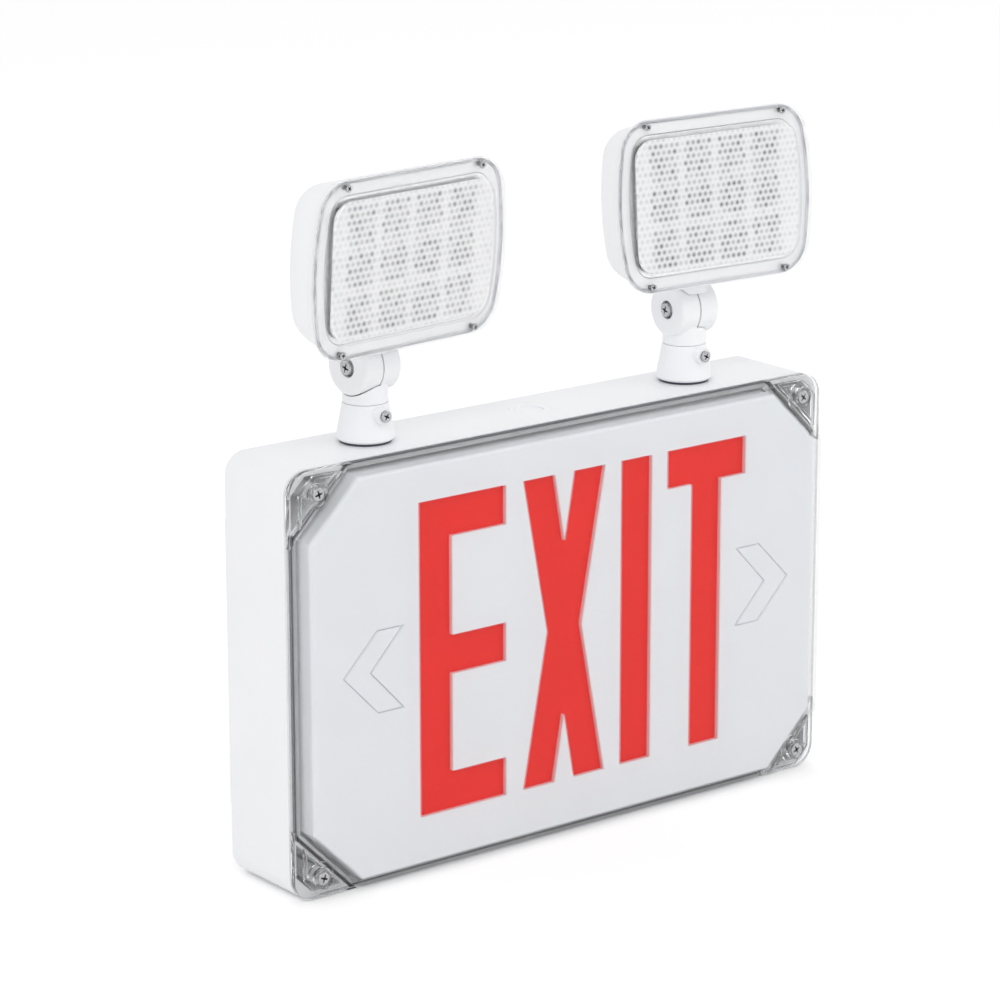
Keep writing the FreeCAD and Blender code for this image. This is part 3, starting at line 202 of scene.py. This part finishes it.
def metal(name, colour, roughness, streak=0.0006, shade=0.85, depth=0.000006):
    material, tree, shader = newMaterial(name)
    shader.inputs["Metallic"].default_value = 1.0
    fine = noisePattern(tree, streak, 3.0)
    tint = tuple(c * shade for c in colour)
    tree.links.new(rampColours(tree, fine, tint, colour), shader.inputs["Base Color"])
    tree.links.new(rampValue(tree, fine, *roughness), shader.inputs["Roughness"])
    bumpFrom(tree, shader, fine, depth)
    return material


def paintedShadeFrom(material, attribute, colour):
    # painted shade: the piece's own attribute, from 0 to 1, takes the finish from its plain colour to this darker
    # one
    tree = material.node_tree
    share = tree.nodes.new("ShaderNodeAttribute")
    share.attribute_name = attribute
    colourOver(tree, share.outputs["Fac"], colour)
    return material


def beadPlastic(name, colour, roughness, clear):
    material = clearPlastic(name, colour, roughness, 1.0)
    material.node_tree.nodes["Principled BSDF"].inputs["Transmission Weight"].default_value = clear
    return material


coverZones = {  # where along Y each zone starts and stops, and what it is like
    "outerFace": (-0.0632, -0.0626), "faceAlpha": 0.3,
    "walls": (-0.0614, -0.0607), "wallAlpha": 0.17, "wallClear": 0.6,
    "slant": 0.2272, "earAlpha": 0.92,
}

# dark rubber, also the colour of the painted seam shade on the cover gasket
darkRubberAndSeamShade = (0.06, 0.065, 0.09)
shadow = (0.02, 0.02, 0.025)

finishes = {
    "housing": mouldedPlastic("whiteHousing", (0.90, 0.905, 0.925)),
    "face": mouldedPlastic("whiteFace", (0.80, 0.82, 0.85), roughness=(0.40, 0.5), depth=0.000006),
    "lamp": mouldedPlastic("whiteLamp", (0.91, 0.915, 0.935)),
    "red": mouldedPlastic("redPanel", (0.84, 0.026, 0.020), shade=0.97, roughness=(0.4, 0.5), depth=0.000004,
                          gloss=0.2),
    "inner": mouldedPlastic("whiteInner", (0.86, 0.86, 0.86)),
    "gasket": mouldedPlastic("darkGasket", darkRubberAndSeamShade, shade=0.8, roughness=(0.6, 0.75), depth=0.00002),
    # the cover gasket carries painted seam shade along its outer edge
    "coverGasket": seamShadedFoam("seamShadedGasket", (0.74, 0.75, 0.77), darkRubberAndSeamShade, (0.1576, 0.1016), 0.0010),
    "lensGasket": mouldedPlastic("paleGasket", (0.70, 0.71, 0.74), shade=0.95, roughness=(0.5, 0.6)),
    "cover": rimmedPlastic("clearCover", (0.985, 0.99, 0.995), 0.02, coverZones, gloss=0.5),
    "lens": clearPlastic("clearLens", (0.99, 0.995, 1.0), 0.03, 0.2),
    # the bead sheets carry painted shade dots, standing in for the dark LEDs seen through the beads
    "beads": paintedShadeFrom(beadPlastic("clearBeads", (0.97, 0.975, 0.99), 0.06, 0.1), "dot", shadow),
    "steel": metal("zincSteel", (0.62, 0.63, 0.65), (0.22, 0.36)),
    # the screws' cross recesses carry painted shade
    "screw": paintedShadeFrom(metal("platedScrew", (0.50, 0.505, 0.52), (0.16, 0.28)), "recessShade", shadow),
    "mirror": metal("mirrorFilm", (0.93, 0.935, 0.945), (0.25, 0.35), streak=0.002),
    "strip": mouldedPlastic("stripBoard", (0.85, 0.85, 0.80), roughness=(0.3, 0.4)),
    "lampBoard": mouldedPlastic("lampBoard", (0.10, 0.10, 0.11), shade=0.9, roughness=(0.4, 0.5)),
    "board": mouldedPlastic("greenBoard", (0.03, 0.16, 0.06), shade=0.8, roughness=(0.3, 0.4)),
    "core": metal("coreSteel", (0.28, 0.28, 0.29), (0.4, 0.55)),
    "wrap": mouldedPlastic("cellWrap", (0.05, 0.09, 0.35), shade=0.85, roughness=(0.2, 0.3)),
    "button": mouldedPlastic("redButton", (0.62, 0.03, 0.025), shade=0.9),
    "signal": clearPlastic("greenSignal", (0.25, 0.85, 0.40), 0.12, 0.9),
    "nut": mouldedPlastic("blackNut", (0.03, 0.03, 0.034), shade=0.8, roughness=(0.5, 0.6)),
}

nodeFinish = {
    "housing": "housing", "cover_gasket": "coverGasket", "clear_cover": "cover", "cover_screws": "steel",
    "stencil_plate": "face", "red_panel": "red", "light_tray": "inner", "upper_led_strip": "strip",
    "lower_led_strip": "strip", "control_board": "board", "transformer": "core", "battery_pack": "wrap",
    "battery_strap": "inner", "conduit_plug": "lamp", "test_button": "button", "status_lamp": "signal",
    "switch_board": "board",
}
lampFinish = {
    "base_gasket": "gasket", "lamp_base": "lamp", "base_nut": "nut", "set_screw": "steel",
    "lower_knuckle": "lamp", "knuckle_screw": "steel", "knuckle_nut": "steel", "upper_knuckle": "lamp",
    "lamp_shell": "lamp", "arm_screw": "steel", "lens_gasket": "lensGasket", "lamp_lens": "lens",
    "lens_screws": "steel", "lamp_reflector": "mirror", "lamp_board": "lampBoard",
}
for side in sides:
    nodeFinish.update({side + "_" + part: finish for part, finish in lampFinish.items()})


def dress(node, material):
    mesh = nodes[node].data
    mesh.materials.clear()
    mesh.materials.append(material)


for node, finish in nodeFinish.items():
    dress(node, finishes[finish])
print("materials on", len(nodeFinish), "nodes")


# Where the lamps stand at rest: each head turns about its stem (pan) and its cross screw (tilt), in degrees.

lampPlaces = {
    "left": {"pivot": (-0.0964, -0.027, 0.1382), "pan": 6.5, "tilt": 4.0},
    "right": {"pivot": (0.0964, -0.027, 0.1382), "pan": -2.5, "tilt": -4.0},
}


def panTurn(side):
    return Matrix.Rotation(math.radians(lampPlaces[side]["pan"]), 3, "Z")


def headTurn(side):
    return panTurn(side) @ Matrix.Rotation(math.radians(lampPlaces[side]["tilt"]), 3, "X")


def placed(points, turn, origin):
    # turned about its own zero point, then carried to origin
    return points @ np.array(turn).T + np.array(origin)


def gridFaces(rows, columns, first=0, closed=False, flip=False):
    # the quads between neighbouring rows and columns of a grid of points, numbered from first on
    # closed joins the last column to the first, and flip turns every quad over
    row = np.arange(rows - 1)[:, None]
    column = np.arange(columns if closed else columns - 1)[None, :]
    after = (column + 1) % columns
    here, below = row * columns, (row + 1) * columns
    quads = np.stack([here + column, here + after, below + after, below + column], axis=-1).reshape(-1, 4) + first
    return quads[:, ::-1] if flip else quads


def makePiece(name, points, faces, material, body):
    mesh = bpy.data.meshes.new(name)
    mesh.from_pydata(points.tolist(), [], faces)
    mesh.polygons.foreach_set("use_smooth", [True] * len(mesh.polygons))
    mesh.materials.append(material)
    mesh.update()
    piece = bpy.data.objects.new(name, mesh)
    bpy.context.scene.collection.objects.link(piece)
    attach(piece, body)
    return piece


# Cross-head screws, which stand for the plain ones of the frame.

coverScrew = {"head": 0.0031, "rise": 0.0020, "dome": 0.0004, "edge": 0.0004, "shank": 0.00195, "reach": 0.0201,
              "crossReach": 0.0021, "crossWidth": 0.00048, "crossDepth": 0.0013,
              "across": 0.1462, "up": 0.0915, "seat": 0.0576,
              "twists": [math.radians(degrees) for degrees in (20, 65, -15, 40)]}
setScrew = {"head": 0.0027, "rise": 0.0014, "dome": 0.0003, "edge": 0.0003, "shank": 0.0020, "reach": 0.0097,
            "crossReach": 0.0017, "crossWidth": 0.00042, "crossDepth": 0.0009,
            "height": 0.1164, "seat": 0.0423, "twists": [0.5]}
knuckleScrew = {"head": 0.0034, "rise": 0.0022, "dome": 0.0004, "edge": 0.0006, "shank": 0.0020, "reach": 0.0200,
                "crossReach": 0.0022, "crossWidth": 0.0005, "crossDepth": 0.0014,
                "washer": 0.0043, "washerThick": 0.0008, "seat": 0.0090, "twists": [0.3]}
lensScrew = {"head": 0.0017, "rise": 0.0007, "dome": 0.0002, "edge": 0.0002, "shank": 0.0011, "reach": 0.0045,
             "crossReach": 0.0012, "crossWidth": 0.00034, "crossDepth": 0.0006,
             "across": 0.0409, "up": 0.03815, "centre": 0.0559, "seat": 0.0289,
             "twists": (0.2, 1.1, 0.7, 0.4)}
screwGrid = {"around": 72, "across": 20, "firstRing": 0.04, "edgeSteps": 5, "pointFrom": 0.96, "pointWidth": 0.6,
             "crossSlope": 0.5, "crossRoot": 1.15, "crossTaper": 0.45, "crossDeep": 1.1, "crossShallow": 0.5}


def turnedScrew(screw):
    # a profile of radius r and height h turned about Y: (r cos a, -h, r sin a), with the seat at height zero
    # on top, h = rise + dome (1 - (r / head)^2), less the cross: its depth times
    # S((taper - min(|x|, |z|)) / slope) S((reach - max(|x|, |z|)) / slope), with S(t) = t kept between 0 and 1,
    # and with taper and depth both falling in proportion to max(|x|, |z|)
    grid = screwGrid
    head, rise, edge = screw["head"], screw["rise"], screw["edge"]
    washer, washerThick = screw.get("washer", 0), screw.get("washerThick", 0)
    topRadius = np.linspace(grid["firstRing"], 1, grid["across"]) * (head - edge)
    topHeight = rise + washerThick + screw["dome"] * (1 - (topRadius / head) ** 2)
    turnIn = np.linspace(0, math.pi / 2, grid["edgeSteps"])[1:]
    roundRadius = head - edge + edge * np.sin(turnIn)
    roundHeight = topHeight[-1] - edge + edge * np.cos(turnIn)
    underWasher = [(washer, washerThick), (washer, 0.0)] if washer else []
    shank, tip = screw["shank"], -screw["reach"]
    low = [(head, washerThick)] + underWasher + [(shank, 0.0), (shank, tip * grid["pointFrom"]),
                                                 (shank * grid["pointWidth"], tip)]
    lowRadius, lowHeight = np.array(low).T
    radius = np.concatenate([topRadius, roundRadius, lowRadius])[:, None]
    height = np.concatenate([topHeight, roundHeight, lowHeight])[:, None]
    angle = np.linspace(0, 2 * math.pi, grid["around"], endpoint=False)[None, :]
    x, z = radius * np.cos(angle), radius * np.sin(angle)
    slope = screw["crossWidth"] * grid["crossSlope"]
    narrow, wide = np.minimum(abs(x), abs(z)), np.maximum(abs(x), abs(z))
    outward = wide / screw["crossReach"]
    taper = screw["crossWidth"] * (grid["crossRoot"] - grid["crossTaper"] * outward)
    cross = np.clip((taper - narrow) / slope, 0, 1) * np.clip((screw["crossReach"] - wide) / slope, 0, 1)
    cross = cross * (np.arange(len(radius)) < grid["across"])[:, None]
    y = -(height + 0 * angle - screw["crossDepth"] * cross * (grid["crossDeep"] - grid["crossShallow"] * outward))
    rings = np.stack([x, y, z], axis=-1).reshape(-1, 3)
    poles = np.array([[0, y[0].mean(), 0], [0, screw["reach"], 0]])
    points = np.concatenate([rings, poles])
    # painted shade: the cross's share, full in the cross and at the top pole, darkens the finish where shade
    # falls in the recess
    recessShade = np.concatenate([cross.ravel(), [1.0, 0.0]])
    around, rows = grid["around"], len(radius)
    column = np.arange(around)
    after = (column + 1) % around
    lastRing = (rows - 1) * around
    topFan = np.stack([np.full(around, len(rings)), column, after], axis=-1)
    tipFan = np.stack([np.full(around, len(rings) + 1), lastRing + after, lastRing + column], axis=-1)
    return points, [gridFaces(rows, around, closed=True, flip=True), topFan, tipFan], recessShade


def makeScrews(name, screw, turn, places, body, node):
    # the same screw at every place, twisted about its own axis and then turned as its seat is
    points, faces, recessShade = turnedScrew(screw)
    count = len(points)
    everyPoint = np.concatenate([placed(points, turn @ Matrix.Rotation(twist, 3, "Y"), place)
                                 for twist, place in zip(screw["twists"], places)])
    everyFace = [(sheet + count * k).tolist() for k in range(len(places)) for sheet in faces]
    flat = [face for sheet in everyFace for face in sheet]
    piece = makePiece(name, everyPoint, flat, finishes["screw"], body)
    # painted shade in the cross recess, kept as a point attribute
    attribute = piece.data.attributes.new("recessShade", "FLOAT", "POINT")
    attribute.data.foreach_set("value", np.tile(recessShade, len(places)))
    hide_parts(node)


def cornerPlaces(screw, centre):
    x = np.array([-1, 1, -1, 1]) * screw["across"]
    z = np.array([-1, -1, 1, 1]) * screw["up"] + centre
    return np.stack([x, np.full(4, -screw["seat"]), z], axis=-1)


def makeAllScrews():
    upright = Matrix.Identity(3)
    makeScrews("coverCrossScrews", coverScrew, upright, cornerPlaces(coverScrew, 0), "enclosure", "cover_screws")
    for side in sides:
        pivot = np.array(lampPlaces[side]["pivot"])
        pan, head = panTurn(side), headTurn(side)
        sidePlace = [(pivot[0], -setScrew["seat"], setScrew["height"])]
        makeScrews(side + "CrossSetScrew", setScrew, upright, sidePlace, "enclosure", side + "_set_screw")
        crosswise = pan @ Matrix.Rotation(math.radians(-90), 3, "Z")
        seat = placed(np.array([[-knuckleScrew["seat"], 0, 0]]), pan, pivot)
        makeScrews(side + "CrossKnuckleScrew", knuckleScrew, crosswise, seat, side + "_swivel",
                   side + "_knuckle_screw")
        corners = placed(cornerPlaces(lensScrew, lensScrew["centre"]), head, pivot)
        makeScrews(side + "CrossLensScrews", lensScrew, head, corners, side + "_head", side + "_lens_screws")


makeAllScrews()
print("cross-head screws made")


# The bead sheet behind each lens: a staggered field of small domes that face the reflector's cells.
# Its dark dots are painted shade, standing in for the dark LEDs and reflector centres that each bead would show.

beadSheet = {"halfWidth": 0.0489, "halfHeight": 0.0319, "corner": 0.0105, "centre": 0.0559,
             "front": 0.02925, "thick": 0.0006, "pitchAcross": 0.00322, "pitchUp": 0.00316,
             "beadRadius": 0.0026, "stepsPerBead": 6, "fade": 0.0010, "dotRadius": 0.00112,
             "cellAcross": 0.0204, "cellUp": 0.0213, "cellShift": (-0.0017, 0.0003), "dotsAcross": 0.0083,
             "dotsUp": 0.0092, "softAcross": 0.0022, "softUp": 0.0020, "cells": (4, 3), "between": 0.3,
             "faintest": 0.45, "drawn": 64, "seed": 4}


def roundedField(columns, rows, halfWidth, halfHeight, corner):
    # a rectangle of x, z whose corner squares are drawn into quarter discs: a sqrt(1 - b^2 / 2 r^2),
    # and b likewise, with a and b measured from the corner's centre and r the corner's radius
    x, z = np.meshgrid(np.linspace(-halfWidth, halfWidth, columns), np.linspace(-halfHeight, halfHeight, rows))
    a, b = abs(x) - (halfWidth - corner), abs(z) - (halfHeight - corner)
    inCorner = (a > 0) & (b > 0)
    roundA = a * np.sqrt(np.clip(1 - b ** 2 / (2 * corner ** 2), 0, 1))
    roundB = b * np.sqrt(np.clip(1 - a ** 2 / (2 * corner ** 2), 0, 1))
    x = np.where(inCorner, np.sign(x) * (halfWidth - corner + roundA), x)
    z = np.where(inCorner, np.sign(z) * (halfHeight - corner + roundB), z)
    return x, z


def beadHeight(x, z, across, up, radius):
    # distance r to the nearest of two interleaved lattices of bead centres, then the ball cap
    # sqrt(R^2 - r^2) - sqrt(R^2 - rMax^2), with rMax the furthest that any point lies from a centre
    def toLattice(x, z):
        return np.hypot((x + across / 2) % across - across / 2, (z + up) % (2 * up) - up)
    r = np.minimum(toLattice(x, z), toLattice(x - across / 2, z - up))
    furthest = ((across / 2) ** 2 + up ** 2) / (2 * up)
    return np.sqrt(radius ** 2 - np.minimum(r, furthest) ** 2) - math.sqrt(radius ** 2 - furthest ** 2)


def dotShadeShare(x, z, s):
    # painted shade: a dark dot exp(-(r / dotRadius)^2) at each bead's centre, with a drawn strength, times
    # between + (1 - between) S(dotsAcross - |dx|) S(dotsUp - |dz|), where dx and dz run from the middle of
    # the cell and S(t) = t / soft + 0.5, kept between 0 and 1
    across, up = s["pitchAcross"], s["pitchUp"]
    row = np.round(z / up)
    shift = (row % 2) * across / 2
    column = np.round((x - shift) / across)
    r = np.hypot(x - shift - column * across, z - row * up)
    middleX, middleZ = column * across + shift - s["cellShift"][0], row * up - s["cellShift"][1]
    # an even number of cells has a wall at x = 0, an odd number has a cell's middle at z = 0
    dx = abs(middleX % s["cellAcross"] - s["cellAcross"] / 2)
    dz = abs((middleZ + s["cellUp"] / 2) % s["cellUp"] - s["cellUp"] / 2)
    cellsAcross, cellsUp = s["cells"]
    inside = (abs(middleX) < cellsAcross / 2 * s["cellAcross"]) & (abs(middleZ) < cellsUp / 2 * s["cellUp"])
    shareAcross = np.clip((s["dotsAcross"] - dx) / s["softAcross"] + 0.5, 0, 1)
    shareUp = np.clip((s["dotsUp"] - dz) / s["softUp"] + 0.5, 0, 1)
    drawn = s["drawn"]
    strength = np.random.default_rng(s["seed"]).uniform(s["faintest"], 1.0, (drawn, drawn))
    ownStrength = strength[row.astype(int) % drawn, column.astype(int) % drawn]
    cellShare = s["between"] + (1 - s["between"]) * (shareAcross * shareUp) * inside
    return np.exp(-(r / s["dotRadius"]) ** 2) * ownStrength * cellShare


def makeBeadSheet(side):
    # two grids over the rounded field, front y = -front and back y = -front + thick + dome, with a wall
    # round the rim
    s = beadSheet
    columns = int(2 * s["halfWidth"] / s["pitchAcross"] * s["stepsPerBead"]) + 1
    rows = int(2 * s["halfHeight"] / s["pitchUp"] * s["stepsPerBead"]) + 1
    x, z = roundedField(columns, rows, s["halfWidth"], s["halfHeight"], s["corner"])
    rim = np.minimum(s["halfWidth"] - abs(x), s["halfHeight"] - abs(z))
    domes = beadHeight(x, z, s["pitchAcross"], s["pitchUp"], s["beadRadius"]) * np.clip(rim / s["fade"], 0, 1)
    front = np.stack([x, np.full_like(x, -s["front"]), z + s["centre"]], axis=-1).reshape(-1, 3)
    back = np.stack([x, -s["front"] + s["thick"] + domes, z + s["centre"]], axis=-1).reshape(-1, 3)
    count = rows * columns
    index = np.arange(count).reshape(rows, columns)
    loop = np.concatenate([index[0, :-1], index[:-1, -1], index[-1, :0:-1], index[:0:-1, 0]])
    after = np.roll(loop, -1)
    wall = np.stack([loop, loop + count, after + count, after], axis=-1)
    faces = np.concatenate([gridFaces(rows, columns), gridFaces(rows, columns, first=count, flip=True), wall])
    points = placed(np.concatenate([front, back]), headTurn(side), lampPlaces[side]["pivot"])
    sheet = makePiece(side + "BeadSheet", points, faces.tolist(), finishes["beads"], side + "_head")
    # painted shade dots, the same on the sheet's front and back
    dotShades = dotShadeShare(x, z, s).ravel()
    attribute = sheet.data.attributes.new("dot", "FLOAT", "POINT")
    attribute.data.foreach_set("value", np.concatenate([dotShades, dotShades]))


for side in sides:
    makeBeadSheet(side)
print("bead sheets made")


# Studio: a pale floor, plain soft light and the camera. The roll is in degrees, the lens and sensor in mm.

studio = {
    "floorGap": 0.0005,
    "floorSize": 8.0,
    "ambient": 0.80,
    "floorGlow": 0.14,
    "lights": [  # place, aim, width, watts
        ((-1.9, -2.2, 2.6), (0, 0, 0.05), 1.8, 28),
        ((2.4, -1.8, 1.6), (0, 0, 0.05), 1.6, 13),
    ],
}


def seenDirectly(tree, seen, otherwise):
    # one value to the camera, in gloss and through clear parts, and another for the light that falls on things
    path = tree.nodes.new("ShaderNodeLightPath").outputs
    glossOrClear = mathStep(tree, "MAXIMUM", path["Is Glossy Ray"], path["Is Transmission Ray"])
    anyOfThem = mathStep(tree, "MAXIMUM", path["Is Camera Ray"], glossOrClear)
    return rampValue(tree, anyOfThem, otherwise, seen)


def makeWorld():
    world = bpy.data.worlds.new("studio")
    bpy.context.scene.world = world
    world.use_nodes = True
    tree = world.node_tree
    background = tree.nodes["Background"]
    background.inputs["Color"].default_value = (1, 1, 1, 1)
    tree.links.new(seenDirectly(tree, 1.0, studio["ambient"]), background.inputs["Strength"])


def makeFloor():
    half = studio["floorSize"] / 2
    z = cadLow.z - studio["floorGap"]
    mesh = bpy.data.meshes.new("floor")
    mesh.from_pydata([(-half, -half, z), (half, -half, z), (half, half, z), (-half, half, z)], [], [(0, 1, 2, 3)])
    floor = bpy.data.objects.new("floor", mesh)
    bpy.context.scene.collection.objects.link(floor)
    material, tree, shader = newMaterial("floorPaper")
    shader.inputs["Base Color"].default_value = (1, 1, 1, 1)
    shader.inputs["Roughness"].default_value = 1.0
    shader.inputs["Specular IOR Level"].default_value = 0.0
    shader.inputs["Emission Color"].default_value = (1, 1, 1, 1)
    tree.links.new(seenDirectly(tree, studio["floorGlow"], 0.0), shader.inputs["Emission Strength"])
    mesh.materials.append(material)


def makeLights():
    for place, aim, width, watts in studio["lights"]:
        light = bpy.data.lights.new("softbox", "AREA")
        light.shape = "SQUARE"
        light.size = width
        light.energy = watts
        lamp = bpy.data.objects.new("softbox", light)
        lamp.location = place
        lamp.rotation_euler = (Vector(aim) - Vector(place)).to_track_quat("-Z", "Y").to_euler()
        bpy.context.scene.collection.objects.link(lamp)


cameraSettings = {"place": (-1.1043, -1.4175, 0.5469), "aim": (-0.0449, -0.0615, 0.0722), "roll": -0.07,
                  "lens": 138.6, "sensor": 36.0}


def makeCamera():
    data = bpy.data.cameras.new("camera")
    data.lens = cameraSettings["lens"]
    data.sensor_width = cameraSettings["sensor"]
    camera = bpy.data.objects.new("camera", data)
    place = Vector(cameraSettings["place"])
    turn = (Vector(cameraSettings["aim"]) - place).to_track_quat("-Z", "Y")
    roll = Matrix.Rotation(math.radians(cameraSettings["roll"]), 3, "Z")
    camera.rotation_euler = (turn.to_matrix() @ roll).to_euler()
    camera.location = place
    bpy.context.scene.collection.objects.link(camera)
    bpy.context.scene.camera = camera


makeWorld()
makeFloor()
makeLights()
makeCamera()
bpy.context.scene.view_settings.view_transform = "Standard"
print("studio ready")
